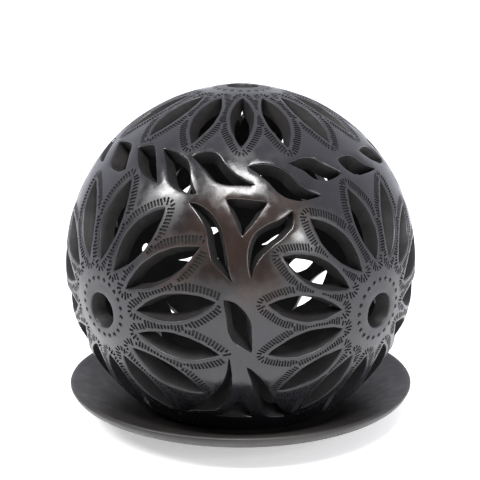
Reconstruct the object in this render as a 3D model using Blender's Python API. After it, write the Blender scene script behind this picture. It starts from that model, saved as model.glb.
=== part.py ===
"""A pierced black clay globe lantern that stands in its own saucer.

Lengths are in metres, angles in degrees. +Z is up, the front faces -Y, and the
origin is the middle of the saucer's underside. The globe is a sphere with a flat
cut base. Its wall is pierced by five flowers of pointed petals, a tree between
each two flowers, and a ring of leaves round the flower on the crown.
"""

import math

import bmesh
import bpy
from mathutils import Vector, kdtree
from mathutils.geometry import delaunay_2d_cdt, interpolate_bezier, intersect_line_line_2d

MM = 0.001

# Globe
GLOBE_RADIUS = 100 * MM
WALL = 8 * MM
BASE_DROP = 82 * MM  # from the globe's centre down to its cut base
BASE_POINTS = 48
CROWN_LIFT = 0.8 * MM  # how much the wall stands up round the crown hole
CROWN_REACH = 14  # degrees from the crown where it starts to
KNIFE_SLANT = 2.0 * MM  # how far each cut edge closes in from outside to inside
CUT_STEP = 7 * MM  # spacing of the points along a cut edge
SURFACE_STEP = 14 * MM  # spacing of the points on the plain surface
INSET_SHARE = 0.3  # most that a cut edge closes in, as a share of the opening's width there
TIP_COSINE = 0.5  # an outline that turns by more than the angle of this has a tip
FAR_ACROSS = 60  # degrees, further than any opening is wide

# Saucer
SAUCER_RADIUS = 99.5 * MM
SAUCER_FLOOR = 7.7 * MM
SAUCER_STEPS = 64
FOOT_RADIUS = 57.5 * MM
REST_GAP = 0.3 * MM  # between the saucer's floor and the globe's base

GLOBE_CENTRE = SAUCER_FLOOR + REST_GAP + BASE_DROP

# Petals: direction and distance of the inner point, then of the outer point, seen from
# the flower's middle, and the half width. Direction 0 is east and 90 is north.
CROWN_PETALS = (
    (0, 17, 0, 41, 3.6),
    (22.5, 17, 22.5, 41, 3.6),
    (45, 17, 45, 41, 3.6),
    (67.5, 17, 67.5, 41, 3.6),
    (90, 17, 90, 41, 3.6),
    (112.5, 17, 112.5, 41, 3.6),
    (135, 17, 135, 41, 3.6),
    (157.5, 17, 157.5, 41, 3.6),
    (180, 17, 178, 41, 3.6),
    (201, 16.8, 197, 40, 3.6),
    (227, 16.8, 221.5, 39.8, 3.7),
    (249, 17, 247.5, 41, 3.7),
    (272, 17, 270.3, 42, 3.6),
    (293.5, 17.3, 291, 42.5, 3.6),
    (316.5, 17.5, 314, 42, 3.5),
    (338.5, 18, 337, 41, 3.6),
)
LEFT_PETALS = (
    (-96, 15.5, -93, 39.5, 4.0),
    (-67, 15, -68, 39, 4.0),
    (-43, 15, -41, 40, 4.1),
    (-17, 15.5, -16, 41, 4.0),
    (10, 15.3, 9.5, 40.5, 4.1),
    (38, 14.3, 34.5, 41.6, 4.1),
    (65, 14.7, 59, 39.8, 4.2),
    (90.5, 15.5, 85.5, 41.5, 4.1),
    (112, 16.3, 114.5, 42, 4.1),
    (137, 17, 142, 40.5, 3.9),
    (160, 17, 165, 41, 3.9),
    (188, 16, 190, 40, 4.0),
    (214, 16, 215, 40, 4.0),
    (239, 16, 240, 40, 4.0),
)
RIGHT_PETALS = (
    (-94, 15.5, -92, 39.5, 3.9),
    (-61, 15.5, -66, 39.5, 4.2),
    (-31, 14.5, -33, 40, 4.2),
    (-1, 14.3, -4, 40, 4.2),
    (24, 15.3, 24, 39.5, 3.8),
    (49.5, 16.3, 47.5, 38.5, 3.6),
    (72.5, 16, 71, 40.8, 3.6),
    (96, 16, 99, 39, 3.9),
    (121.5, 15.8, 127, 39, 3.8),
    (145.5, 16.3, 149, 40, 4.1),
    (169.5, 16.3, 171.5, 39.7, 3.8),
    (191.5, 15.3, 196, 39, 3.8),
    (217, 16.8, 220, 39.5, 3.5),
    (238, 15.5, 243.5, 39.5, 3.7),
)
BACK_RIGHT_PETALS = (
    (15, 15.8, 14, 37, 3.7),
    (38.4, 15.8, 38.4, 34, 3.7),
    (68, 15.8, 68.5, 36.5, 3.3),
    (89.8, 15.8, 89.8, 33, 3.7),
    (115.6, 15.8, 115.6, 38.5, 3.9),
    (141.3, 15.8, 141.3, 35.5, 3.8),
    (167, 15.8, 167, 37, 3.8),
    (192.7, 15.8, 192.7, 37, 3.8),
    (218.4, 15.8, 218.4, 39, 3.9),
    (244.1, 15.8, 244.1, 39.3, 3.9),
    (267, 15.8, 268.5, 39.3, 3.9),
    (299, 14.5, 298.5, 39, 4),
    (325, 15.5, 325.5, 34, 4.1),
    (359, 18, 348, 39.5, 3.4),
)
BACK_LEFT_PETALS = (
    (1, 16.5, 1, 37, 3.4),
    (25.5, 16.5, 25.5, 37, 3.6),
    (53.2, 16.5, 53.2, 38, 3.6),
    (79.5, 16.5, 80.5, 38, 3.5),
    (110, 16.5, 115, 41.5, 3.4),
    (134, 16.5, 130, 40.5, 3.3),
    (165, 17.5, 169, 40.5, 3.4),
    (190, 18, 189, 35.5, 2.6),
    (219.3, 17.5, 219.3, 32, 3),
    (247, 20, 249, 34, 2.4),
    (274.7, 17.5, 274.7, 36, 3.3),
    (302.4, 16.5, 302.4, 37, 3.6),
    (338, 18, 342, 36, 3.2),
)

# Flowers: azimuth and latitude of the middle, where the round hole lies east and north of
# it, the hole's radius, petals
FLOWERS = (
    (0, 90, (0.6, -1.9), 5.2, CROWN_PETALS),
    (-47, -6.4, (0, 0), 5.5, LEFT_PETALS),
    (47, -6.4, (0, 0), 5.5, RIGHT_PETALS),
    (133, -0.9, (0, 0), 5.5, BACK_RIGHT_PETALS),
    (-135, -10.5, (-4, 3.8), 3.4, BACK_LEFT_PETALS),
)
HOLE_POINTS = 20

# Trees: azimuth, width against the front one's, if its trunk is slit, and how many of the
# gaps between its roots are cut through
TREES = (
    (0, 1, True, 3),
    (91.35, 0.65, False, 3),
    (177, 0.65, False, 1),
    (-91.35, 0.65, False, 3),
)

# An outline is a ring of sides that meet in points. Each side runs from its first
# point to the first point of the next side, and curves smoothly in between.

# The tree's crown, in degrees east and north of the point on its axis at this latitude
CROWN_LATITUDE = 5
CROWN_OPENINGS = (
    # left of the trunk, under the left branch
    (
        ((-15.3, 24.8), (-12, 24.2), (-8.5, 21.5), (-5.8, 17.5), (-4.5, 13), (-3.8, 8.5), (-3.2, 4.5)),
        ((-2.3, 2.1), (-4.8, 4.8), (-7.8, 7.8), (-8.9, 12), (-10.2, 18), (-12.5, 22)),
    ),
    # fork between the two branches
    (
        ((-4.2, 26), (0, 26)),
        ((7.8, 25), (5.5, 21.5), (2.5, 17.5)),
        ((0.6, 15.2), (-0.5, 17.5), (-1.8, 20.8)),
    ),
    # right of the trunk, under the right branch
    (
        ((15.3, 22.5), (12, 20), (8, 18.5), (5, 16.5), (3, 13.5), (2.2, 10), (2.5, 6)),
        ((3, 3.3), (4, 6.5), (6, 9.5), (9.5, 12.7), (13, 15.5), (15.3, 18.5)),
    ),
)
TRUNK_SLIT = (
    ((-4.8, -3), (-1.5, -4), (1, -6.2), (2.7, -9.5), (3.2, -14)),
    ((3.2, -19.2), (0, -17), (-2, -15.3), (-3.3, -12.9), (-4, -8)),
)

# Between the tree's roots, in azimuth from its axis and latitude
ROOT_OPENINGS = (
    (
        ((-3.5, -16), (-4.3, -22), (-5.8, -26), (-8.5, -30), (-12, -33.5), (-16, -36)),
        ((-22, -39), (-23, -40.5)),
        ((-23, -42), (-16, -40), (-10, -39), (-7, -36.5), (-4.5, -33), (-3.2, -28), (-2.9, -22)),
    ),
    (
        ((1.8, -19.5), (5, -22.5), (8, -26.5), (10.5, -31), (13, -35.5), (16, -39.5)),
        ((20, -43), (19.8, -44)),
        ((19, -45), (12.5, -44), (9.5, -42), (7.5, -38.5), (6, -34), (4.8, -29), (3.3, -24)),
    ),
    (
        ((-0.3, -30.5), (-2.5, -36.5), (-5, -40)),
        ((-10, -42.5), (-2, -42.8)),
        ((5, -43.5), (2.2, -38)),
    ),
)

# Half of the leaf ring, in azimuth and latitude
LEAVES = (
    (
        ((-88, 44.8), (-82, 45.5), (-77.5, 44), (-74, 41)),
        ((-70.5, 37.6), (-76, 37.2), (-81, 38.6), (-85, 41.3)),
    ),
    (
        ((-70, 45.5), (-62, 46.6), (-56, 45.6), (-52.5, 42)),
        ((-49.5, 37.5), (-54, 36.3), (-61, 37.6), (-65, 41.5)),
    ),
    (
        ((-50, 45.5), (-45.5, 47), (-41, 46.8), (-36, 42)),
        ((-31, 34.8), (-36, 36), (-40, 37.5), (-45, 41)),
    ),
    (
        ((-35, 46.3), (-27, 45), (-21, 42), (-18, 36)),
        ((-15, 32.3), (-22, 33.3), (-26.5, 36), (-30, 41)),
    ),
    (
        ((-20, 44.5), (-14, 46.5), (-9, 45), (-5, 41), (0, 37.5)),
        ((5, 35.3), (-5, 35.5), (-10, 37), (-15, 41)),
    ),
    (
        ((3, 41.3), (10, 41.8), (16, 40), (21.5, 34.5)),
        ((28, 31), (20, 30), (14, 32), (9, 37)),
    ),
    (
        ((19, 42), (29, 43.5), (34, 41)),
        ((40.5, 37.2), (34, 35.5), (28, 36.3), (24, 39.5)),
    ),
    (
        ((42.5, 41.7), (48, 42.7), (53, 41.9), (57, 38.8)),
        ((62.4, 36), (56.5, 35.7), (49, 35.6), (44.5, 37.8)),
    ),
    (
        ((60.3, 43.2), (69, 43.9), (75.5, 42)),
        ((79, 37.5), (73, 36.6), (65, 39.3)),
    ),
    (
        ((81, 44.5), (86, 44.6), (88.5, 42)),
        ((90, 37), (86, 37.5), (83, 40.5)),
    ),
)

# Saucer section above the flat foot, from the foot's edge out over the lip and in again:
# distance from the axis and height
SAUCER_SECTION = (
    (60, 0.8),
    (64, 2.6),
    (80, 8.6),
    (94.5, 14),
    (98, 16.8),
    (SAUCER_RADIUS / MM, 19.3),
    (99, 20.6),
    (97.6, 21),
    (95.5, 20.3),
    (90, 18.2),
    (80, 14.5),
    (70, 10.5),
    (62, 7.9),
)


def direction(azimuth, latitude):
    """Unit vector from the globe's centre. Azimuth 0 is the front, and grows to the right."""
    a, b = math.radians(azimuth), math.radians(latitude)
    return Vector((math.cos(b) * math.sin(a), -math.cos(b) * math.cos(a), math.sin(b)))


def east_and_north(centre):
    """The two directions along the surface at a point of the globe."""
    east = Vector((0, 0, 1)).cross(centre)
    east = east.normalized() if east.length > 1e-6 else Vector((1, 0, 0))
    return east, centre.cross(east)


def unroll(centre, point):
    """Degrees east and north of centre, measured along the surface."""
    east, north = east_and_north(centre)
    flat = Vector((point.dot(east), point.dot(north)))
    return flat.normalized() * math.degrees(centre.angle(point))


def roll(centre, flat):
    """The direction that lies that many degrees east and north of centre."""
    east, north = east_and_north(centre)
    reach = math.radians(flat.length)
    along = (east * flat.x + north * flat.y).normalized()
    return centre * math.cos(reach) + along * math.sin(reach)


def polar(angle, distance):
    """A flat point at a direction and distance from the middle."""
    return Vector((math.cos(math.radians(angle)), math.sin(math.radians(angle)))) * distance


def hole(centre, radius):
    """A round hole, as a ring of one-point sides."""
    return [[roll(centre, polar(360 * i / HOLE_POINTS, radius))] for i in range(HOLE_POINTS)]


def petal(centre, inner_angle, inner_reach, outer_angle, outer_reach, half_width):
    """A pointed lens between two tips, as its two sides."""
    tips = [roll(centre, polar(inner_angle, inner_reach)), roll(centre, polar(outer_angle, outer_reach))]
    middle = (tips[0] + tips[1]).normalized()
    outer_tip = unroll(middle, tips[1])
    across = Vector((outer_tip.y, -outer_tip.x)).normalized() * half_width
    sides = []
    for way in (1, -1):
        side = []
        for share in (-1, -0.5, 0, 0.5):
            side.append(roll(middle, (outer_tip * share + across * (1 - share * share)) * way))
        sides.append(side)
    return sides


def tree(azimuth, width, slit, roots):
    """The openings of one tree's crown, trunk and roots."""
    middle = direction(azimuth, CROWN_LATITUDE)
    crown = CROWN_OPENINGS + ((TRUNK_SLIT,) if slit else ())
    found = []
    for sides in crown:
        found.append([[roll(middle, Vector((x * width, y))) for x, y in side] for side in sides])
    for sides in ROOT_OPENINGS[:roots]:
        found.append([[direction(azimuth + a * width, b) for a, b in side] for side in sides])
    return found


def all_openings():
    """Every opening of the wall, each as sides of directions."""
    found = []
    for azimuth, latitude, offset, hole_radius, petals in FLOWERS:
        centre = direction(azimuth, latitude)
        found.append(hole(roll(centre, Vector(offset)), hole_radius))
        found += [petal(centre, *shape) for shape in petals]
    for shape in TREES:
        found += tree(*shape)
    for turn in (0, 180):
        for sides in LEAVES:
            found.append([[direction(turn + a, b) for a, b in side] for side in sides])
    return found


def side_curve(knots, step):
    """Points along a smooth curve through the knots of one side, but for its last knot."""
    slopes = [knots[1] - knots[0]] * 2
    if len(knots) > 2:
        first = (knots[1] * 4 - knots[0] * 3 - knots[2]) / 2
        last = (knots[-1] * 3 + knots[-3] - knots[-2] * 4) / 2
        slopes = [first] + [(after - before) / 2 for before, after in zip(knots, knots[2:])] + [last]
    points = []
    for i in range(len(knots) - 1):
        count = max(1, round((knots[i + 1] - knots[i]).length / step))
        handles = (knots[i] + slopes[i] / 3, knots[i + 1] - slopes[i + 1] / 3)
        points += interpolate_bezier(knots[i], *handles, knots[i + 1], count + 1)[:-1]
    return [point.xy for point in points]


def closed_in(points, inset):
    """A flat outline, counterclockwise, with its edges moved inwards: less where it is
    narrow, and not at its tips."""
    count = len(points)
    moved = []
    for i, point in enumerate(points):
        after = points[(i + 1) % count]
        normals = []
        for edge in (point - points[i - 1], after - point):
            normals.append(Vector((-edge.y, edge.x)).normalized())
        way = (normals[0] + normals[1]).normalized()
        if normals[0].dot(normals[1]) < TIP_COSINE:
            moved.append(point)
            continue
        reach = point + way * FAR_ACROSS
        crossings = []
        for j in range(i + 1, i + count - 1):
            crossings.append(intersect_line_line_2d(point, reach, points[j % count], points[(j + 1) % count]))
        widths = [(crossing - point).length for crossing in crossings if crossing]
        moved.append(point + way * min([inset] + [INSET_SHARE * width for width in widths]))
    return moved


def trace(sides, inset, step):
    """Directions along an outline, closed in by inset degrees, with a point every step degrees."""
    centre = sum((point for side in sides for point in side), Vector()).normalized()
    flat = [[unroll(centre, point) for point in side] for side in sides]
    points = []
    for side, following in zip(flat, flat[1:] + flat[:1]):
        points += side_curve(side + following[:1], step)
    if sum(a.cross(b) for a, b in zip(points, points[1:] + points[:1])) < 0:
        points.reverse()
    return [roll(centre, point) for point in closed_in(points, inset)]


def base_ring(radius):
    """Directions round the cut base, at the height where a sphere of this radius is cut."""
    latitude = -math.degrees(math.asin(BASE_DROP / radius))
    return [direction(360 * i / BASE_POINTS, latitude) for i in range(BASE_POINTS)]


def lifted(point, radius):
    """A point of a sphere of this radius, raised near the crown."""
    share = max(0, 1 - math.degrees(point.angle(Vector((0, 0, 1)))) / CROWN_REACH)
    return point * (radius + CROWN_LIFT * share * share * (3 - 2 * share))


def spread_points(radius, loops):
    """Evenly spread directions on the plain surface, clear of the loops and above the base."""
    near = kdtree.KDTree(sum(len(loop) for loop in loops))
    for index, point in enumerate(point for loop in loops for point in loop):
        near.insert(point, index)
    near.balance()
    spacing = SURFACE_STEP / radius
    count = round(4 * math.pi / (spacing**2 * math.sin(math.radians(60))))
    golden_turn = math.pi * (3 - math.sqrt(5))
    found = []
    for i in range(count):
        height = 1 - 2 * (i + 0.5) / count
        reach = math.sqrt(1 - height**2)
        point = Vector((reach * math.cos(golden_turn * i), reach * math.sin(golden_turn * i), height))
        if height > -BASE_DROP / radius and near.find(point)[2] > 0.6 * spacing:
            found.append(point)
    return found


def pierced_sheet(mesh, radius, loops):
    """Covers a sphere from the base ring, loops[0], to the crown, but for the openings in
    the other loops, with triangles. Returns the loops as mesh vertices."""
    points = [point for loop in loops for point in loop] + spread_points(radius, loops)
    flat = [point.xy / (1 + point.z) for point in points]
    outlines = []
    start = 0
    for loop in loops:
        outlines.append(list(range(start, start + len(loop))))
        start += len(loop)
    placed, _, triangles, sources, _, owners = delaunay_2d_cdt(flat, [], outlines, 1, 1e-7)
    if len(placed) != len(points) or any(len(source) != 1 for source in sources):
        raise ValueError("two openings of the globe cross or touch")
    vertices = [mesh.verts.new(lifted(points[source[0]], radius)) for source in sources]
    for triangle, owner in zip(triangles, owners):
        if owner == [0]:
            mesh.faces.new([vertices[i] for i in triangle])
    by_point = {source[0]: vertex for source, vertex in zip(sources, vertices)}
    return [[by_point[i] for i in outline] for outline in outlines]


def join_loops(mesh, outer, inner):
    """Joins two loops of the same length with a band of faces."""
    for i in range(len(outer)):
        mesh.faces.new((outer[i - 1], outer[i], inner[i], inner[i - 1]))


def finished(name, mesh, material):
    """Turns a bmesh into an object with smooth faces and sharp cut edges."""
    bmesh.ops.recalc_face_normals(mesh, faces=mesh.faces)
    data = bpy.data.meshes.new(name)
    mesh.to_mesh(data)
    mesh.free()
    data.shade_smooth()
    data.set_sharp_from_angle(angle=math.radians(40))
    data.materials.append(material)
    piece = bpy.data.objects.new(name, data)
    bpy.context.scene.collection.objects.link(piece)
    return piece


def clay(name, colour, roughness):
    """Fired black clay: not a metal, though polishing gives it a leaden shine."""
    material = bpy.data.materials.new(name)
    material.use_nodes = True
    shader = material.node_tree.nodes["Principled BSDF"]
    shader.inputs["Base Color"].default_value = (*colour, 1)
    shader.inputs["Roughness"].default_value = roughness
    shader.inputs["Metallic"].default_value = 0
    return material


def make_globe():
    """The pierced globe. It lifts straight up off the saucer."""
    inner_radius = GLOBE_RADIUS - WALL
    slant = math.degrees(KNIFE_SLANT / GLOBE_RADIUS)
    step = math.degrees(CUT_STEP / GLOBE_RADIUS)
    openings = all_openings()
    outside = [base_ring(GLOBE_RADIUS)] + [trace(sides, 0, step) for sides in openings]
    inside = [base_ring(inner_radius)] + [trace(sides, slant, step) for sides in openings]
    mesh = bmesh.new()
    outer_loops = pierced_sheet(mesh, GLOBE_RADIUS, outside)
    inner_loops = pierced_sheet(mesh, inner_radius, inside)
    for outer, inner in zip(outer_loops, inner_loops):
        join_loops(mesh, outer, inner)
    loose = [vertex for vertex in mesh.verts if not vertex.link_faces]
    bmesh.ops.delete(mesh, geom=loose, context="VERTS")
    globe = finished("globe", mesh, clay("polished_black_clay", (0.075, 0.074, 0.085), 0.3))
    globe.location.z = GLOBE_CENTRE
    return globe


def make_saucer():
    """The shallow saucer, turned from its section."""
    mesh = bmesh.new()
    section = [(0, 0), (FOOT_RADIUS / MM, 0), *SAUCER_SECTION, (0, SAUCER_FLOOR / MM)]
    points = [mesh.verts.new((r * MM, 0, z * MM)) for r, z in section]
    edges = [mesh.edges.new(pair) for pair in zip(points, points[1:])]
    bmesh.ops.spin(
        mesh,
        geom=points + edges,
        cent=(0, 0, 0),
        axis=(0, 0, 1),
        angle=math.tau,
        steps=SAUCER_STEPS,
        use_merge=True,
    )
    bmesh.ops.remove_doubles(mesh, verts=mesh.verts, dist=1e-6)
    return finished("saucer", mesh, clay("satin_black_clay", (0.055, 0.053, 0.054), 0.45))


for leftover in list(bpy.data.objects):
    bpy.data.objects.remove(leftover)
make_saucer()
make_globe()
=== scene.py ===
"""A pierced black clay globe lantern, burnished and comb-stamped, in its saucer.

Barro negro: clay shaped by hand, rubbed with quartz while leather hard, cut with a
knife, stamped, and fired in smoke. Lengths are in metres, directions on the globe in
degrees: azimuth 0 is the front and grows to the right, latitude 90 is the crown.
"""

import math

import bmesh
import bpy
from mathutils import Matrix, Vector, kdtree, noise
from mathutils.geometry import delaunay_2d_cdt, interpolate_bezier, intersect_line_line_2d


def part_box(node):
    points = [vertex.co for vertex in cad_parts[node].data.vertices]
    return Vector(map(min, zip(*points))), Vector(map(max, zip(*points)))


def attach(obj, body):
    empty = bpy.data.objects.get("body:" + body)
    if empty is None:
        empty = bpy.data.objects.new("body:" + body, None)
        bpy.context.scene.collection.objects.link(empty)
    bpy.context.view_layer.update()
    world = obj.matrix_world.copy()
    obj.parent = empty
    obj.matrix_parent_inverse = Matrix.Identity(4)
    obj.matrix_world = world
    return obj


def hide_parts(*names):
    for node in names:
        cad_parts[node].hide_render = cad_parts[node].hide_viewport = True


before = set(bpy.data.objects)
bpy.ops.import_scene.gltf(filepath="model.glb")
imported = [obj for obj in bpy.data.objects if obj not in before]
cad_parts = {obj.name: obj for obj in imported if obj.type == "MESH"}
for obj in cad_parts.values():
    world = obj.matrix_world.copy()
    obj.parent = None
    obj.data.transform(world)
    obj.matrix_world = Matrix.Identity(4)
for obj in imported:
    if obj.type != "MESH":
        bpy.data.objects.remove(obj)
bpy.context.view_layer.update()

MM = 0.001
globe_low, globe_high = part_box("globe")
saucer_low, saucer_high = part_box("saucer")

# Globe
GLOBE_RADIUS = (globe_high.x - globe_low.x) / 2 - 0.05 * MM
WALL = 7.7 * MM
BASE_DROP = 81.9 * MM  # from the globe's centre down to its cut base
GLOBE_CENTRE = Vector((0, 0, globe_low.z + BASE_DROP))
BASE_POINTS = 120
CROWN_LIFT = 0.7 * MM  # how much the wall stands up round the crown hole
CROWN_REACH = 14  # degrees from the crown where it starts to
KNIFE_SLANT = 2.0 * MM  # how far each cut edge closes in from outside to inside
CUT_STEP = 2.0 * MM  # spacing of the points along a cut edge
OUTER_STEP = 3.2 * MM  # spacing of the points on the outside
INNER_STEP = 5.5 * MM  # and on the inside
INSET_SHARE = 0.3  # most that a cut edge closes in, as a share of the opening's width there
TIP_SHARE = 0.4  # and as a share of the way to the nearest tip
TIP_COSINE = 0.5  # an outline that turns by more than the angle of this has a tip
FAR_ACROSS = 60  # degrees, further than any opening is wide
PETAL_ROUNDING = 0.7 * MM  # petals are cut last, and keep a crisp edge
TREE_ROUNDING = 0.85 * MM  # leaves and trees are rubbed over after cutting
ROUNDING_STEPS = 3
CUT_WOBBLE = 0.16  # degrees that the knife strays
noise.seed_set(1)  # noise vectors differ from run to run without a seed
SLOW_STRAY = 22  # bends of the knife's path per globe radius
QUICK_STRAY = 60  # and the smaller shakes on it
SHARP_ANGLE = math.radians(38)  # edges that turn by more than this are not shaded smooth

# Comb-stamped band round each petal
RIM = 1.7 * MM  # plain clay between the petal's edge and the band
COMB_LENGTH = 4.2 * MM
COMB_SHARE = 0.68  # of the pitch that a stroke is wide
COMB_DEPTH = 0.75 * MM
COMB_SPACE = 0.8  # least distance between the middles of two strokes, as a share of the pitch
COMB_CELL = 2 * MM  # size of the cells that strokes are looked up in
COMB_CLEAR = 1.0 * MM  # between a stroke's middle line and the rounded edge of a cut
COMB_LEAST = 0.8 * MM  # shortest stroke worth a mark
COMB_LEAN = 0.14  # slant of a stroke, as a share of its length
COMB_SHARING = 0.8 * MM  # bands this near to the border between two petals become one
COMB_BORDER = 0.15 * MM  # least distance from that border where they don't
COMB_SLOPE = 0.15 * MM  # width of the sloping side of a stroke

# Ring of dents round each flower's hole
DENTS = 21
DENT_RADIUS = 1.3 * MM
DENT_POINTS = 10
DENT_DEPTH = 1.0 * MM
DENT_SLOPE = 0.45 * MM

# How each flower is stamped: pitch of the comb, where its ring of dents lies east and
# north of the flower's middle, and the ring's radius in degrees
STAMPS = (
    (1.65 * MM, (0.6, -1.9), 9.0),
    (1.9 * MM, (0, 1.0), 9.0),
    (1.5 * MM, (0, 0.5), 9.3),
    (1.7 * MM, (0, 0.3), 9.2),
    (1.8 * MM, (-2, 2), 9.0),
)

UNEVEN = 0.35 * MM  # how far the hand-made surface dips below the true sphere
UNEVEN_WAVES = 5  # dips per globe radius
BURNISH_START = 0.3 * MM  # how far inside the comb band's outer border the burnish begins
BURNISH_FULL = 0.9 * MM  # and how far outside it the clay is fully burnished

# Spots where the clay is tinted brown: azimuth, latitude and reach of each spot
BROWN_SPOTS = ((-3, 22, 22), (-20, 12, 14), (14, 26, 12), (6, 6, 12), (118, 30, 24), (-150, 10, 26))

SAUCER_STEPS = 160
# Section of the saucer in millimetres, from the middle of its underside round to the
# middle of its floor: distance from the axis and height
SAUCER_SECTION = (
    (0, 0), (30, 0), (55, 0), (56.8, 0.05), (58.4, 0.3), (60, 0.85), (62, 1.7), (66, 3.4),
    (72, 5.7), (80, 8.6), (88, 11.6), (93, 13.5), (95.6, 14.8), (97.4, 16.2), (98.6, 17.8),
    (99.3, 19.1), (99.4, 19.9), (99.0, 20.6), (98.2, 20.95), (97.3, 20.95), (96.4, 20.7),
    (94.5, 20.0), (90, 18.3), (84, 16.1), (78, 13.8), (72, 11.4), (67, 9.5), (63.5, 8.35),
    (60, 7.85), (55, 7.7), (30, 7.7), (0, 7.7),
)

# Camera
CAMERA_PLACE = Vector((0, -0.62065, 0.24357))
CAMERA_TURN = (math.radians(90 - 12.95), 0, math.radians(0.03))
CAMERA_LENS = 83.15

# Studio: name, width and height, place and watts of each lamp, all aimed at the globe
LAMP_AIM = (0, 0, 0.1)
LAMPS = (
    ("high_lamp", (0.5, 0.3), (0.0, -0.6, 1.1), 18),
    ("right_lamp", (0.2, 0.42), (0.76, -0.95, 0.52), 6.5),
    ("left_lamp", (0.3, 0.45), (-0.85, -0.42, 1.0), 14),
)
DARK_WAY = (-0.42, -0.9, 0.09)  # the middle of the dark part of the tent
FLOOR_RADIUS = 60

# Petals: direction and distance of the inner point, then of the outer point, seen from
# the flower's middle, and the half width. Direction 0 is east and 90 is north.
CROWN_PETALS = (
    (0, 17, 0, 41, 3.6),
    (22.5, 17, 22.5, 41, 3.6),
    (45, 17, 45, 41, 3.6),
    (67.5, 17, 67.5, 41, 3.6),
    (90, 17, 90, 41, 3.6),
    (112.5, 17, 112.5, 41, 3.6),
    (135, 17, 135, 41, 3.6),
    (157.5, 17, 157.5, 41, 3.6),
    (180, 17, 178, 41, 3.6),
    (201, 16.8, 197, 40, 3.6),
    (227, 16.8, 221.5, 39.8, 3.7),
    (249, 17, 247.5, 41, 3.7),
    (272, 17, 270.3, 42, 3.6),
    (293.5, 17.3, 291, 42.5, 3.6),
    (316.5, 17.5, 314, 42, 3.5),
    (338.5, 18, 337, 41, 3.6),
)
LEFT_PETALS = (
    (-96, 15.5, -93, 39.5, 4.0),
    (-67, 15, -68, 39, 4.0),
    (-43, 15, -41, 40, 4.1),
    (-17, 15.5, -16, 41, 4.0),
    (10, 15.3, 9.5, 40.5, 4.1),
    (38, 14.3, 34.5, 41.6, 4.1),
    (65, 14.7, 59, 39.8, 4.2),
    (90.5, 15.5, 85.5, 41.5, 4.1),
    (112, 16.3, 114.5, 42, 4.1),
    (137, 17, 142, 40.5, 3.9),
    (160, 17, 165, 41, 3.9),
    (188, 16, 190, 40, 4.0),
    (214, 16, 215, 40, 4.0),
    (239, 16, 240, 40, 4.0),
)
RIGHT_PETALS = (
    (-94, 15.5, -92, 39.5, 3.9),
    (-61, 15.5, -66, 39.5, 4.2),
    (-31, 14.5, -33, 40, 4.2),
    (-1, 14.3, -4, 40, 4.2),
    (24, 15.3, 24, 39.5, 3.8),
    (49.5, 16.3, 47.5, 38.5, 3.6),
    (72.5, 16, 71, 40.8, 3.6),
    (96, 16, 99, 39, 3.9),
    (121.5, 15.8, 127, 39, 3.8),
    (145.5, 16.3, 149, 40, 4.1),
    (169.5, 16.3, 171.5, 39.7, 3.8),
    (191.5, 15.3, 196, 39, 3.8),
    (217, 16.8, 220, 39.5, 3.5),
    (238, 15.5, 243.5, 39.5, 3.7),
)
BACK_RIGHT_PETALS = (
    (15, 15.8, 14, 37, 3.7),
    (38.4, 15.8, 38.4, 34, 3.7),
    (68, 15.8, 68.5, 36.5, 3.3),
    (89.8, 15.8, 89.8, 33, 3.7),
    (115.6, 15.8, 115.6, 38.5, 3.9),
    (141.3, 15.8, 141.3, 35.5, 3.8),
    (167, 15.8, 167, 37, 3.8),
    (192.7, 15.8, 192.7, 37, 3.8),
    (218.4, 15.8, 218.4, 39, 3.9),
    (244.1, 15.8, 244.1, 39.3, 3.9),
    (267, 15.8, 268.5, 39.3, 3.9),
    (299, 14.5, 298.5, 39, 4),
    (325, 15.5, 325.5, 34, 4.1),
    (359, 18, 348, 39.5, 3.4),
)
BACK_LEFT_PETALS = (
    (1, 16.5, 1, 37, 3.4),
    (25.5, 16.5, 25.5, 37, 3.6),
    (53.2, 16.5, 53.2, 38, 3.6),
    (79.5, 16.5, 80.5, 38, 3.5),
    (110, 16.5, 115, 41.5, 3.4),
    (134, 16.5, 130, 40.5, 3.3),
    (165, 17.5, 169, 40.5, 3.4),
    (190, 18, 189, 35.5, 2.6),
    (219.3, 17.5, 219.3, 32, 3),
    (247, 20, 249, 34, 2.4),
    (274.7, 17.5, 274.7, 36, 3.3),
    (302.4, 16.5, 302.4, 37, 3.6),
    (338, 18, 342, 36, 3.2),
)

# Flowers: azimuth and latitude of the middle, where the round hole lies east and north of
# it, the hole's radius, petals
FLOWERS = (
    (0, 90, (0.6, -1.9), 5.2, CROWN_PETALS),
    (-47, -6.4, (0, 0), 5.5, LEFT_PETALS),
    (47, -6.4, (0, 0), 5.5, RIGHT_PETALS),
    (133, -0.9, (0, 0), 5.5, BACK_RIGHT_PETALS),
    (-135, -10.5, (-4, 3.8), 3.4, BACK_LEFT_PETALS),
)
HOLE_POINTS = 20

# Trees: azimuth, width against the front one's, if its trunk is slit, and how many of the
# gaps between its roots are cut through
TREES = (
    (0, 1, True, 3),
    (91.35, 0.65, False, 3),
    (177, 0.65, False, 1),
    (-91.35, 0.65, False, 3),
)

# An outline is a ring of sides that meet in points. Each side runs from its first
# point to the first point of the next side, and curves smoothly in between.

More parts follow.
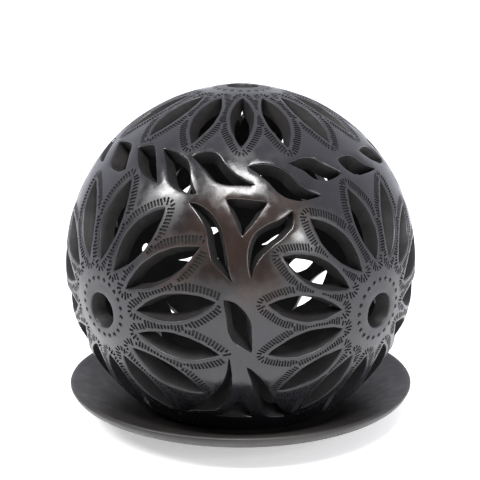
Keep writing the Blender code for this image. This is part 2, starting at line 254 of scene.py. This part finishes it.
# The tree's crown, in degrees east and north of the point on its axis at this latitude
CROWN_LATITUDE = 5
CROWN_OPENINGS = (
    # left of the trunk, under the left branch
    (
        ((-15.3, 24.8), (-12, 24.2), (-8.5, 21.5), (-5.8, 17.5), (-4.5, 13), (-3.8, 8.5), (-3.2, 4.5)),
        ((-2.3, 2.1), (-4.8, 4.8), (-7.8, 7.8), (-8.9, 12), (-10.2, 18), (-12.5, 22)),
    ),
    # fork between the two branches
    (
        ((-4.2, 26), (0, 26)),
        ((7.8, 25), (5.5, 21.5), (2.5, 17.5)),
        ((0.6, 15.2), (-0.5, 17.5), (-1.8, 20.8)),
    ),
    # right of the trunk, under the right branch
    (
        ((15.3, 22.5), (12, 20), (8, 18.5), (5, 16.5), (3, 13.5), (2.2, 10), (2.5, 6)),
        ((3, 3.3), (4, 6.5), (6, 9.5), (9.5, 12.7), (13, 15.5), (15.3, 18.5)),
    ),
)
TRUNK_SLIT = (
    ((-4.8, -3), (-1.5, -4), (1, -6.2), (2.7, -9.5), (3.2, -14)),
    ((3.2, -19.2), (0, -17), (-2, -15.3), (-3.3, -12.9), (-4, -8)),
)

# Between the tree's roots, in azimuth from its axis and latitude
ROOT_OPENINGS = (
    (
        ((-3.5, -16), (-4.3, -22), (-5.8, -26), (-8.5, -30), (-12, -33.5), (-16, -36)),
        ((-22, -39), (-23, -40.5)),
        ((-23, -42), (-16, -40), (-10, -39), (-7, -36.5), (-4.5, -33), (-3.2, -28), (-2.9, -22)),
    ),
    (
        ((1.8, -19.5), (5, -22.5), (8, -26.5), (10.5, -31), (13, -35.5), (16, -39.5)),
        ((20, -43), (19.8, -44)),
        ((19, -45), (12.5, -44), (9.5, -42), (7.5, -38.5), (6, -34), (4.8, -29), (3.3, -24)),
    ),
    (
        ((-0.3, -30.5), (-2.5, -36.5), (-5, -40)),
        ((-10, -42.5), (-2, -42.8)),
        ((5, -43.5), (2.2, -38)),
    ),
)

# Half of the leaf ring, in azimuth and latitude
LEAVES = (
    (
        ((-88, 44.8), (-82, 45.5), (-77.5, 44), (-74, 41)),
        ((-70.5, 37.6), (-76, 37.2), (-81, 38.6), (-85, 41.3)),
    ),
    (
        ((-70, 45.5), (-62, 46.6), (-56, 45.6), (-52.5, 42)),
        ((-49.5, 37.5), (-54, 36.3), (-61, 37.6), (-65, 41.5)),
    ),
    (
        ((-50, 45.5), (-45.5, 47), (-41, 46.8), (-36, 42)),
        ((-31, 34.8), (-36, 36), (-40, 37.5), (-45, 41)),
    ),
    (
        ((-35, 46.3), (-27, 45), (-21, 42), (-18, 36)),
        ((-15, 32.3), (-22, 33.3), (-26.5, 36), (-30, 41)),
    ),
    (
        ((-20, 44.5), (-14, 46.5), (-9, 45), (-5, 41), (0, 37.5)),
        ((5, 35.3), (-5, 35.5), (-10, 37), (-15, 41)),
    ),
    (
        ((3, 41.3), (10, 41.8), (16, 40), (21.5, 34.5)),
        ((28, 31), (20, 30), (14, 32), (9, 37)),
    ),
    (
        ((19, 42), (29, 43.5), (34, 41)),
        ((40.5, 37.2), (34, 35.5), (28, 36.3), (24, 39.5)),
    ),
    (
        ((42.5, 41.7), (48, 42.7), (53, 41.9), (57, 38.8)),
        ((62.4, 36), (56.5, 35.7), (49, 35.6), (44.5, 37.8)),
    ),
    (
        ((60.3, 43.2), (69, 43.9), (75.5, 42)),
        ((79, 37.5), (73, 36.6), (65, 39.3)),
    ),
    (
        ((81, 44.5), (86, 44.6), (88.5, 42)),
        ((90, 37), (86, 37.5), (83, 40.5)),
    ),
)


def direction(azimuth, latitude):
    """Unit vector from the globe's centre. Azimuth 0 is the front, and grows to the right."""
    a, b = math.radians(azimuth), math.radians(latitude)
    return Vector((math.cos(b) * math.sin(a), -math.cos(b) * math.cos(a), math.sin(b)))


def east_and_north(centre):
    """The two directions along the surface at a point of the globe."""
    east = Vector((0, 0, 1)).cross(centre)
    east = east.normalized() if east.length > 1e-6 else Vector((1, 0, 0))
    return east, centre.cross(east)


def unroll(centre, point):
    """Degrees east and north of centre, measured along the surface."""
    east, north = east_and_north(centre)
    flat = Vector((point.dot(east), point.dot(north)))
    return flat.normalized() * math.degrees(centre.angle(point))


def roll(centre, flat):
    """The direction that lies that many degrees east and north of centre."""
    east, north = east_and_north(centre)
    reach = math.radians(flat.length)
    along = (east * flat.x + north * flat.y).normalized()
    return centre * math.cos(reach) + along * math.sin(reach)


def polar(angle, distance):
    """A flat point at a direction and distance from the middle."""
    return Vector((math.cos(math.radians(angle)), math.sin(math.radians(angle)))) * distance


def hole(centre, radius):
    """A round hole, as a ring of one-point sides."""
    return [[roll(centre, polar(360 * i / HOLE_POINTS, radius))] for i in range(HOLE_POINTS)]


def petal(centre, inner_angle, inner_reach, outer_angle, outer_reach, half_width):
    """A pointed lens between two tips, as its two sides."""
    tips = [roll(centre, polar(inner_angle, inner_reach)), roll(centre, polar(outer_angle, outer_reach))]
    middle = (tips[0] + tips[1]).normalized()
    outer_tip = unroll(middle, tips[1])
    across = Vector((outer_tip.y, -outer_tip.x)).normalized() * half_width
    sides = []
    for way in (1, -1):
        side = []
        for share in (-1, -0.5, 0, 0.5):
            side.append(roll(middle, (outer_tip * share + across * (1 - share * share)) * way))
        sides.append(side)
    return sides


def tree(azimuth, width, slit, roots):
    """The openings of one tree's crown, trunk and roots."""
    middle = direction(azimuth, CROWN_LATITUDE)
    crown = CROWN_OPENINGS + ((TRUNK_SLIT,) if slit else ())
    found = []
    for sides in crown:
        found.append([[roll(middle, Vector((x * width, y))) for x, y in side] for side in sides])
    for sides in ROOT_OPENINGS[:roots]:
        found.append([[direction(azimuth + a * width, b) for a, b in side] for side in sides])
    return found


def side_curve(knots, step):
    """Points along a smooth curve through the knots of one side, but for its last knot."""
    slopes = [knots[1] - knots[0]] * 2
    if len(knots) > 2:
        first = (knots[1] * 4 - knots[0] * 3 - knots[2]) / 2
        last = (knots[-1] * 3 + knots[-3] - knots[-2] * 4) / 2
        slopes = [first] + [(after - before) / 2 for before, after in zip(knots, knots[2:])] + [last]
    points = []
    for i in range(len(knots) - 1):
        count = max(1, round((knots[i + 1] - knots[i]).length / step))
        handles = (knots[i] + slopes[i] / 3, knots[i + 1] - slopes[i + 1] / 3)
        points += interpolate_bezier(knots[i], *handles, knots[i + 1], count + 1)[:-1]
    return [point.xy for point in points]


def edge_normals(points, i):
    """The inward normals of the two edges that meet at a point of an outline."""
    edges = (points[i] - points[i - 1], points[(i + 1) % len(points)] - points[i])
    return [Vector((-edge.y, edge.x)).normalized() for edge in edges]


def is_tip(points, i):
    before, after = edge_normals(points, i)
    return before.dot(after) < TIP_COSINE


def closed_in(points, inset):
    """A flat outline, counterclockwise, with its edges moved inwards: less where it is
    narrow or near a tip. A negative inset moves edges and tips outwards."""
    count = len(points)
    tips = [point for i, point in enumerate(points) if is_tip(points, i)]
    moved = []
    for i, point in enumerate(points):
        before, after = edge_normals(points, i)
        way = (before + after).normalized()
        most = [inset]
        if inset > 0:
            most += [TIP_SHARE * (point - tip).length for tip in tips]
            for j in range(i + 1, i + count - 1):
                pair = (points[j % count], points[(j + 1) % count])
                crossing = intersect_line_line_2d(point, point + way * FAR_ACROSS, *pair)
                if crossing:
                    most.append(INSET_SHARE * (crossing - point).length)
        moved.append(point + way * min(most))
    return moved


def degrees(length, radius=GLOBE_RADIUS):
    """A length along the globe's surface, as an angle at its centre."""
    return math.degrees(length / radius)


def drawn_outline(sides, step):
    """The middle of an opening, and its outline as flat points about there."""
    centre = sum((point for side in sides for point in side), Vector()).normalized()
    flat = [[unroll(centre, point) for point in side] for side in sides]
    points = []
    for side, following in zip(flat, flat[1:] + flat[:1]):
        points += side_curve(side + following[:1], step)
    if sum(a.cross(b) for a, b in zip(points, points[1:] + points[:1])) < 0:
        points.reverse()
    return centre, points


def knife_outline(sides, step):
    """A drawn outline as the hand cut it, straying a little."""
    centre, points = drawn_outline(sides, step)
    strayed = []
    for point in points:
        way = roll(centre, point)
        stray = noise.noise_vector(way * SLOW_STRAY) + noise.noise_vector(way * QUICK_STRAY) * 0.5
        strayed.append(point + stray.xy * CUT_WOBBLE)
    return centre, strayed


def base_ring(radius):
    """Directions round the cut base, at the height where a sphere of this radius is cut."""
    latitude = -math.degrees(math.asin(BASE_DROP / radius))
    return [direction(360 * i / BASE_POINTS, latitude) for i in range(BASE_POINTS)]


def lifted(point, radius):
    """A point of a sphere of this radius, raised near the crown."""
    share = max(0, 1 - math.degrees(point.angle(Vector((0, 0, 1)))) / CROWN_REACH)
    return point * (radius + CROWN_LIFT * share * share * (3 - 2 * share))


def spread_points(radius, step, near):
    """Evenly spread directions on the plain surface, clear of what is near and above the base."""
    spacing = step / radius
    count = round(4 * math.pi / (spacing**2 * math.sin(math.radians(60))))
    golden_turn = math.pi * (3 - math.sqrt(5))
    found = []
    for i in range(count):
        height = 1 - 2 * (i + 0.5) / count
        reach = math.sqrt(1 - height**2)
        point = Vector((reach * math.cos(golden_turn * i), reach * math.sin(golden_turn * i), height))
        if height > -BASE_DROP / radius and near.find(point)[2] > 0.6 * spacing:
            found.append(point)
    return found


def tree_of(points):
    """A search tree over points."""
    found = kdtree.KDTree(len(points))
    for index, point in enumerate(points):
        found.insert(point, index)
    found.balance()
    return found


def pierced_sheet(mesh, radius, step, loops, marks):
    """Covers a sphere from the base ring, loops[0], to the crown, but for the openings in
    the other loops. Each mark is one face. Returns the loops' vertices and the marks' faces."""
    rings = loops + marks
    edge_points = [point for ring in rings for point in ring]
    points = edge_points + spread_points(radius, step, tree_of(edge_points))
    flat = [point.xy / (1 + point.z) for point in points]
    outlines = []
    start = 0
    for ring in rings:
        outlines.append(list(range(start, start + len(ring))))
        start += len(ring)
    placed, _, triangles, sources, _, owners = delaunay_2d_cdt(flat, [], outlines, 1, 1e-8)
    if len(placed) != len(points) or any(len(source) != 1 for source in sources):
        raise ValueError("two cuts or marks of the globe cross or touch")
    vertices = [mesh.verts.new(lifted(points[source[0]], radius)) for source in sources]
    for triangle, owner in zip(triangles, owners):
        if owner == [0]:
            mesh.faces.new([vertices[i] for i in triangle])
    by_point = {source[0]: vertex for source, vertex in zip(sources, vertices)}
    found = [[by_point[i] for i in outline] for outline in outlines]
    faces = [mesh.faces.new(ring) for ring in found[len(loops):]]
    return found[:len(loops)], faces


def ring_at(mesh, directions, radius):
    """New vertices at a distance from the globe's centre."""
    return [mesh.verts.new(lifted(way, radius)) for way in directions]


def join_loops(mesh, outer, inner, material):
    """Joins two loops of the same length with a band of faces."""
    for i in range(len(outer)):
        face = mesh.faces.new((outer[i - 1], outer[i], inner[i], inner[i - 1]))
        face.material_index = material


class Comb:
    """Strokes of a comb pressed into the clay round a flower's petals, clear of every cut
    and of each other."""

    def __init__(self, rims):
        self.rims = rims
        self.taken = {}
        self.strokes = []
        self.pitch = None

    def cell(self, point):
        return tuple(math.floor(value * GLOBE_RADIUS / COMB_CELL) for value in point)

    def is_clear(self, point):
        """Whether a direction is off the rims of the cuts and off other strokes."""
        if self.rims.find(point)[2] < COMB_CLEAR / GLOBE_RADIUS:
            return False
        x, y, z = self.cell(point)
        for dx in (-1, 0, 1):
            for dy in (-1, 0, 1):
                for dz in (-1, 0, 1):
                    for other in self.taken.get((x + dx, y + dy, z + dz), ()):
                        if (other - point).length < COMB_SPACE * self.pitch / GLOBE_RADIUS:
                            return False
        return True

    def end(self, centre, middle, reach, allowed):
        """How far a stroke goes from its middle along reach, as far as it may."""
        last = None
        for share in (0, 0.25, 0.5, 0.75, 1):
            point = middle + reach * share
            if not allowed(point) or not self.is_clear(roll(centre, point)):
                break
            last = point
        return last

    def press(self, centre, middle, along, allowed):
        """Presses one stroke across the line that runs along through its middle."""
        across = Vector((along.y, -along.x)) + along * COMB_LEAN
        half = across * degrees(COMB_LENGTH) / 2
        ends = [self.end(centre, middle, half * way, allowed) for way in (-1, 1)]
        if None in ends or (ends[1] - ends[0]).length < degrees(COMB_LEAST):
            return
        side = along * degrees(COMB_SHARE * self.pitch) / 2
        corners = [ends[0] - side, ends[1] - side, ends[1] + side, ends[0] + side]
        self.strokes.append([roll(centre, corner) for corner in corners])
        for i in range(7):
            point = roll(centre, ends[0].lerp(ends[1], i / 6))
            self.taken.setdefault(self.cell(point), []).append(point)


def heading(petal_shape, distance):
    """The direction of a petal's axis at a distance from the flower's middle."""
    inner_angle, inner_reach, outer_angle, outer_reach, _ = petal_shape
    share = (distance - inner_reach) / (outer_reach - inner_reach)
    return inner_angle + (outer_angle - inner_angle) * min(1, max(0, share))


class Sector:
    """The part of a flower that is nearer to one petal than to its neighbours."""

    def __init__(self, petals, index):
        count = len(petals)
        self.petal = petals[index]
        self.before = petals[index - 1]
        self.after = petals[(index + 1) % count]

    def turn(self, other, distance):
        """How far the border with a neighbour is turned from the petal's axis."""
        return ((heading(other, distance) - heading(self.petal, distance) + 180) % 360 - 180) / 2

    def sides(self, point):
        """A flat point's turn from the axis, the turns of the two borders, and the axis."""
        axis = heading(self.petal, point.length)
        turned = (math.degrees(math.atan2(point.y, point.x)) - axis + 180) % 360 - 180
        return turned, self.turn(self.before, point.length), self.turn(self.after, point.length), axis

    def holds(self, point, margin):
        """Whether a flat point lies inside by a margin in degrees of the globe."""
        turned, low, high, _ = self.sides(point)
        spare = math.degrees(math.radians(margin) / math.sin(math.radians(point.length)))
        return low + spare < turned < high - spare

    def pulled_in(self, point):
        """A point moved onto the border that it lies beyond."""
        turned, low, high, axis = self.sides(point)
        return polar(axis + (low if turned < 0 else high), point.length)


def comb_line(centre, sides):
    """Flat points about a flower's middle, round a petal, down the middle of its comb band."""
    middle, drawn = drawn_outline(sides, degrees(1.5 * MM))
    outline = [unroll(centre, roll(middle, point)) for point in drawn]
    reach = degrees(RIM + COMB_LENGTH / 2)
    line = []
    for i, point in enumerate(outline):
        after = outline[(i + 1) % len(outline)]
        edges = (point - outline[i - 1], after - point)
        first, last = [Vector((edge.y, -edge.x)).normalized() for edge in edges]
        shares = [k / 7 for k in range(8)] if first.dot(last) < TIP_COSINE else [0.5]
        for share in shares:
            line.append(point + first.slerp(last, share) * reach)
    return line


def press_band(comb, centre, sides, sector):
    """Presses the comb band round one petal. Where two petals are too close for two
    bands, they share one along their border."""
    line = comb_line(centre, sides)
    travelled = 0
    for start, stop in zip(line, line[1:] + line[:1]):
        length = (stop - start).length
        along = (stop - start).normalized()
        while travelled < length:
            middle = start + along * travelled
            travelled += degrees(comb.pitch)
            if sector.holds(middle, degrees(COMB_SHARING)):
                comb.press(centre, middle, along, lambda point: sector.holds(point, degrees(COMB_BORDER)))
            else:
                border = sector.pulled_in(middle)
                comb.press(centre, border, border.normalized(), lambda point: True)
        travelled -= length


def dent_ring(centre, offset, reach):
    """The outlines of the round dents about a flower's hole."""
    found = []
    for i in range(DENTS):
        middle = Vector(offset) + polar(360 * (i + 0.5) / DENTS, reach)
        corners = [polar(360 * k / DENT_POINTS, degrees(DENT_RADIUS)) for k in range(DENT_POINTS)]
        found.append([roll(centre, middle + corner) for corner in corners])
    return found


def stamped_marks(rims):
    """The outlines of every comb stroke and of every dent on the globe."""
    comb = Comb(rims)
    dents = []
    for (azimuth, latitude, _, _, petals), (pitch, offset, reach) in zip(FLOWERS, STAMPS):
        centre = direction(azimuth, latitude)
        dents += dent_ring(centre, offset, reach)
        comb.pitch = pitch
        for i, shape in enumerate(petals):
            press_band(comb, centre, petal(centre, *shape), Sector(petals, i))
    return comb.strokes, dents


def all_openings():
    """Every opening of the wall, as sides of directions and how far its edge is rounded."""
    found = []
    for azimuth, latitude, offset, hole_radius, petals in FLOWERS:
        centre = direction(azimuth, latitude)
        found.append((hole(roll(centre, Vector(offset)), hole_radius), PETAL_ROUNDING))
        found += [(petal(centre, *shape), PETAL_ROUNDING) for shape in petals]
    for shape in TREES:
        found += [(sides, TREE_ROUNDING) for sides in tree(*shape)]
    for turn in (0, 180):
        for sides in LEAVES:
            found.append(([[direction(turn + a, b) for a, b in side] for side in sides], TREE_ROUNDING))
    return found


def rim_points():
    """Directions closely spaced along the outer edge of each rounded cut."""
    found = []
    for sides, rounding in all_openings():
        centre, outline = knife_outline(sides, degrees(1 * MM))
        found += [roll(centre, point) for point in closed_in(outline, -degrees(rounding))]
    return found


def flower_edges():
    """Directions along the edges of all petals and flower holes, closely spaced."""
    found = []
    for azimuth, latitude, offset, hole_radius, petals in FLOWERS:
        centre = direction(azimuth, latitude)
        round_hole = hole(roll(centre, Vector(offset)), hole_radius)
        for sides in [round_hole] + [petal(centre, *shape) for shape in petals]:
            middle, points = drawn_outline(sides, 1)
            found += [roll(middle, point) for point in points]
    return found


def smooth_step(value, low, high):
    share = min(1, max(0, (value - low) / (high - low)))
    return share * share * (3 - 2 * share)


def mark_finish(mesh):
    """Stores at each point how burnished the clay is, and how much it is tinted brown."""
    edges = tree_of(flower_edges())
    border = RIM + COMB_LENGTH
    burnish = mesh.verts.layers.float["burnish"]
    brown = mesh.verts.layers.float["brown"]
    for vertex in mesh.verts:
        way = vertex.co.normalized()
        off = edges.find(way)[2] * GLOBE_RADIUS
        vertex[burnish] = smooth_step(off, border - BURNISH_START, border + BURNISH_FULL)
        vertex[brown] = max(
            smooth_step(way.angle(direction(a, b)), math.radians(reach), math.radians(reach * 0.3))
            for a, b, reach in BROWN_SPOTS
        )


def press_in(mesh, faces, slope, depth):
    """Presses faces into the clay, with sides that slope in, and marks their points as pressed."""
    pressed = mesh.verts.layers.float["pressed"]
    bmesh.ops.inset_individual(mesh, faces=faces, thickness=slope, depth=-depth, use_even_offset=True)
    for face in faces:
        for vertex in face.verts:
            vertex[pressed] = 1


def make_globe():
    """The pierced globe with its comb bands and dents, on the globe's body."""
    inner_radius = GLOBE_RADIUS - WALL
    slant = degrees(KNIFE_SLANT)
    cuts = [(*knife_outline(sides, degrees(CUT_STEP)), rounding) for sides, rounding in all_openings()]
    strokes, dents = stamped_marks(tree_of(rim_points()))

    mesh = bmesh.new()
    for name in ("burnish", "brown", "pressed"):
        mesh.verts.layers.float.new(name)
    rims = []
    for centre, outline, rounding in cuts:
        rims.append([roll(centre, point) for point in closed_in(outline, -degrees(rounding))])
    outer_base = base_ring(GLOBE_RADIUS)
    outer_loops, marks = pierced_sheet(mesh, GLOBE_RADIUS, OUTER_STEP, [outer_base] + rims, strokes + dents)
    outer_faces = len(mesh.faces)
    insides = []
    for centre, outline, _ in cuts:
        insides.append([roll(centre, point) for point in closed_in(outline, slant)])
    inner_loops, _ = pierced_sheet(mesh, inner_radius, INNER_STEP, [base_ring(inner_radius)] + insides, [])
    mesh.faces.ensure_lookup_table()
    for face in mesh.faces[outer_faces:]:
        face.material_index = 2
    join_loops(mesh, outer_loops[0], inner_loops[0], 1)
    for outer, inner, (centre, outline, rounding) in zip(outer_loops[1:], inner_loops[1:], cuts):
        last = outer
        for step in range(1, ROUNDING_STEPS + 1):
            turn = math.radians(90 * step / ROUNDING_STEPS)
            grown = closed_in(outline, -degrees(rounding) * (1 - math.sin(turn)))
            depth = rounding * (1 - math.cos(turn))
            ring = ring_at(mesh, [roll(centre, point) for point in grown], GLOBE_RADIUS - depth)
            join_loops(mesh, last, ring, 0)
            last = ring
        join_loops(mesh, last, inner, 1)
    bmesh.ops.recalc_face_normals(mesh, faces=mesh.faces)

    press_in(mesh, marks[: len(strokes)], COMB_SLOPE, COMB_DEPTH)
    press_in(mesh, marks[len(strokes) :], DENT_SLOPE, DENT_DEPTH)
    loose = [vertex for vertex in mesh.verts if not vertex.link_faces]
    bmesh.ops.delete(mesh, geom=loose, context="VERTS")
    mark_finish(mesh)
    for vertex in mesh.verts:
        way = vertex.co.normalized()
        vertex.co -= way * UNEVEN * (0.5 + 0.5 * noise.noise(way * UNEVEN_WAVES))
    bmesh.ops.translate(mesh, verts=mesh.verts, vec=GLOBE_CENTRE)
    piece = finished("burnished_globe", mesh, [burnished_clay(), knife_cut_clay(), inside_clay_painted_shade()])
    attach(piece, "globe")
    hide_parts("globe")
    return piece


def finished(name, mesh, materials):
    """Turns a bmesh into an object with smooth faces and sharp edges."""
    data = bpy.data.meshes.new(name)
    mesh.to_mesh(data)
    mesh.free()
    data.shade_smooth()
    data.set_sharp_from_angle(angle=SHARP_ANGLE)
    for material in materials:
        data.materials.append(material)
    piece = bpy.data.objects.new(name, data)
    bpy.context.scene.collection.objects.link(piece)
    return piece


def make_saucer():
    """The turned saucer, rubbed with a stone to a satin."""
    mesh = bmesh.new()
    points = [mesh.verts.new((r * MM, 0, z * MM)) for r, z in SAUCER_SECTION]
    edges = [mesh.edges.new(pair) for pair in zip(points, points[1:])]
    bmesh.ops.spin(
        mesh,
        geom=points + edges,
        cent=(0, 0, 0),
        axis=(0, 0, 1),
        angle=math.tau,
        steps=SAUCER_STEPS,
        use_merge=True,
    )
    bmesh.ops.remove_doubles(mesh, verts=mesh.verts, dist=1e-6)
    bmesh.ops.recalc_face_normals(mesh, faces=mesh.faces)
    piece = finished("turned_saucer", mesh, [rubbed_saucer_clay()])
    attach(piece, "saucer")
    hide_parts("saucer")
    return piece


def linear(hex_colour):
    """An sRGB hex colour as linear light."""
    channels = [int(hex_colour[i : i + 2], 16) / 255 for i in (1, 3, 5)]
    return (*[c / 12.92 if c <= 0.04045 else ((c + 0.055) / 1.055) ** 2.4 for c in channels], 1)


def add(material, kind, sockets, **settings):
    """Adds a node with its settings, and gives its sockets values or links from other nodes."""
    node = material.node_tree.nodes.new(kind)
    for name, value in settings.items():
        setattr(node, name, value)
    for socket, value in sockets.items():
        if isinstance(value, bpy.types.NodeSocket):
            material.node_tree.links.new(value, node.inputs[socket])
        else:
            node.inputs[socket].default_value = value
    return node


def new_clay(name):
    """A material that starts with no nodes but the place on the piece."""
    material = bpy.data.materials.new(name)
    material.use_nodes = True
    material.node_tree.nodes.clear()
    place = add(material, "ShaderNodeTexCoord", {}).outputs["Object"]
    return material, place


def shade(material, sockets):
    """Ends a material with its shader."""
    shader = add(material, "ShaderNodeBsdfPrincipled", sockets)
    add(material, "ShaderNodeOutputMaterial", {"Surface": shader.outputs[0]})
    return material


def spots(material, place, size, detail=3, stretch=(1, 1, 1)):
    """Noise from 0 to 1 with patches of about a size in metres."""
    stretched = add(material, "ShaderNodeMapping", {"Vector": place, "Scale": stretch})
    pattern = add(
        material,
        "ShaderNodeTexNoise",
        {"Vector": stretched.outputs[0], "Scale": 0.5 / size, "Detail": detail, "Roughness": 0.55},
    )
    return pattern.outputs["Fac"]


def ramp(material, value, low, high, out_low=0.0, out_high=1.0):
    """A value spread from one range to another."""
    node = add(
        material,
        "ShaderNodeMapRange",
        {"Value": value, "From Min": low, "From Max": high, "To Min": out_low, "To Max": out_high},
    )
    return node.outputs[0]


def mix(material, share, first, second):
    """Two colours mixed by a share."""
    node = add(material, "ShaderNodeMix", {0: share, 6: first, 7: second}, data_type="RGBA")
    return node.outputs[2]


def times(material, first, second, operation="MULTIPLY"):
    return add(material, "ShaderNodeMath", {0: first, 1: second}, operation=operation).outputs[0]


def burnished_clay():
    """Barro negro rubbed with quartz before firing: a graphite shine in streaks where it
    is plain, duller where the comb roughed it up, tinted brown in some spots, and
    coloured near black in the pressed marks as painted shade."""
    material, place = new_clay("burnished_barro_negro")
    stored = {}
    for name in ("burnish", "brown", "pressed"):
        stored[name] = add(material, "ShaderNodeAttribute", {}, attribute_name=name).outputs["Fac"]
    clouds = spots(material, place, 22 * MM)
    mottle = spots(material, place, 4 * MM, 4)
    streaks = spots(material, place, 2.2 * MM, 3, (1, 1, 0.12))
    grain = spots(material, place, 0.5 * MM, 2)
    graphite = mix(material, ramp(material, clouds, 0.35, 0.65), linear("#111113"), linear("#1b1b1f"))
    brown_share = times(material, stored["brown"], ramp(material, mottle, 0.3, 0.7, 0.5, 1))
    tinted_graphite = mix(material, brown_share, graphite, linear("#261b15"))
    mottled = mix(material, ramp(material, mottle, 0.42, 0.75, 0, 0.35), tinted_graphite, linear("#141315"))
    # painted shade: the pressed comb strokes and dents are coloured near black, standing for the shade in
    # their hollows
    colour = mix(material, stored["pressed"], mottled, linear("#0d0c0d"))
    dull = ramp(material, mottle, 0.3, 0.7, 0.3, 0.44)
    bright = ramp(material, times(material, streaks, mottle, "ADD"), 0.75, 1.25, 0.13, 0.3)
    plain = add(material, "ShaderNodeMix", {0: stored["burnish"], 2: dull, 3: bright}).outputs[0]
    roughness = add(material, "ShaderNodeMix", {0: stored["pressed"], 2: plain, 3: 0.75}).outputs[0]
    relief = times(material, times(material, streaks, 0.5), times(material, grain, 0.25), "ADD")
    bump = add(material, "ShaderNodeBump", {"Height": relief, "Strength": 0.35, "Distance": 0.12 * MM})
    return shade(
        material,
        {"Base Color": colour, "Roughness": roughness, "IOR": 1.45, "Normal": bump.outputs[0]},
    )


def knife_cut_clay():
    """Clay as the knife left it: matt and a little brown, with drag marks; its dark colour is partly the
    clay's own and partly painted shade inside the openings.
    """
    material, place = new_clay("knife_cut_barro_negro")
    mottle = spots(material, place, 3 * MM, 4)
    drag = spots(material, place, 0.9 * MM, 3)
    # painted shade: the cut walls inside the openings are coloured darker than the clay alone would be
    colour = mix(material, ramp(material, mottle, 0.3, 0.7), linear("#0e0d0d"), linear("#1b1817"))
    bump = add(material, "ShaderNodeBump", {"Height": drag, "Strength": 0.6, "Distance": 0.25 * MM})
    return shade(material, {"Base Color": colour, "Roughness": 0.6, "IOR": 1.38, "Normal": bump.outputs[0]})


def inside_clay_painted_shade():
    """The inside of the globe: scraped and never rubbed, coloured darker than the outside as painted shade.
    """
    material, place = new_clay("inside_barro_negro_painted_shade")
    mottle = spots(material, place, 9 * MM, 4)
    grain = spots(material, place, 0.8 * MM, 3)
    # painted shade: the inside is coloured darker than the same clay outside, standing for the shade within
    # the globe
    colour = mix(material, ramp(material, mottle, 0.3, 0.7), linear("#0a090a"), linear("#121111"))
    bump = add(material, "ShaderNodeBump", {"Height": grain, "Strength": 0.6, "Distance": 0.3 * MM})
    return shade(material, {"Base Color": colour, "Roughness": 0.7, "IOR": 1.38, "Normal": bump.outputs[0]})


def rubbed_saucer_clay():
    """The saucer: turned, then rubbed only a little, so it has a soft satin with faint rings."""
    material, place = new_clay("rubbed_barro_negro")
    clouds = spots(material, place, 16 * MM)
    mottle = spots(material, place, 3 * MM, 4)
    rings = add(
        material,
        "ShaderNodeTexWave",
        {"Vector": place, "Scale": 0.16 / (3 * MM), "Distortion": 1.2, "Detail": 2, "Detail Scale": 1.5},
        wave_type="RINGS",
        rings_direction="Z",
    ).outputs["Fac"]
    colour = mix(material, ramp(material, clouds, 0.35, 0.65), linear("#191716"), linear("#23201f"))
    roughness = ramp(material, mottle, 0.3, 0.7, 0.4, 0.52)
    relief = times(material, times(material, rings, 0.35), times(material, mottle, 0.5), "ADD")
    bump = add(material, "ShaderNodeBump", {"Height": relief, "Strength": 0.35, "Distance": 0.15 * MM})
    return shade(
        material,
        {"Base Color": colour, "Roughness": roughness, "IOR": 1.42, "Normal": bump.outputs[0]},
    )


def studio_white():
    """A white lit table, so that shadows on it stay pale."""
    material, _ = new_clay("studio_white")
    white = linear("#fafafa")
    return shade(
        material,
        {
            "Base Color": white,
            "Roughness": 0.9,
            "Specular IOR Level": 0.1,
            "Emission Color": white,
            "Emission Strength": 0.45,
        },
    )


def make_floor():
    mesh = bmesh.new()
    bmesh.ops.create_circle(mesh, cap_ends=True, segments=64, radius=FLOOR_RADIUS)
    floor = finished("floor", mesh, [studio_white()])


def softbox(name, size, place, power):
    """A rectangular area light that faces the globe."""
    light = bpy.data.lights.new(name, "AREA")
    light.shape = "RECTANGLE"
    light.size, light.size_y = size
    light.energy = power
    lamp = bpy.data.objects.new(name, light)
    lamp.location = place
    lamp.rotation_euler = (Vector(LAMP_AIM) - Vector(place)).to_track_quat("-Z", "Y").to_euler()
    bpy.context.scene.collection.objects.link(lamp)


def light_studio():
    """A pale tent, dark behind the camera, with lamps high in front, on the left and low on
    the right."""
    world = bpy.data.worlds.new("tent")
    bpy.context.scene.world = world
    world.use_nodes = True
    world.node_tree.nodes.clear()
    way = add(world, "ShaderNodeTexCoord", {}).outputs["Generated"]
    product = add(world, "ShaderNodeVectorMath", {0: way, 1: DARK_WAY}, operation="DOT_PRODUCT")
    strength = ramp(world, product.outputs["Value"], 0.1, 0.8, 1.15, 0.12)
    glow = add(world, "ShaderNodeBackground", {"Color": linear("#f3f4ff"), "Strength": strength})
    add(world, "ShaderNodeOutputWorld", {"Surface": glow.outputs[0]})
    for lamp in LAMPS:
        softbox(*lamp)


def place_camera():
    camera = bpy.data.cameras.new("camera")
    camera.sensor_width = 36
    camera.lens = CAMERA_LENS
    holder = bpy.data.objects.new("camera", camera)
    holder.location = CAMERA_PLACE
    holder.rotation_euler = CAMERA_TURN
    bpy.context.scene.collection.objects.link(holder)
    bpy.context.scene.camera = holder


place_camera()
light_studio()
make_floor()
make_saucer()
make_globe()
bpy.context.scene.view_settings.view_transform = "Standard"
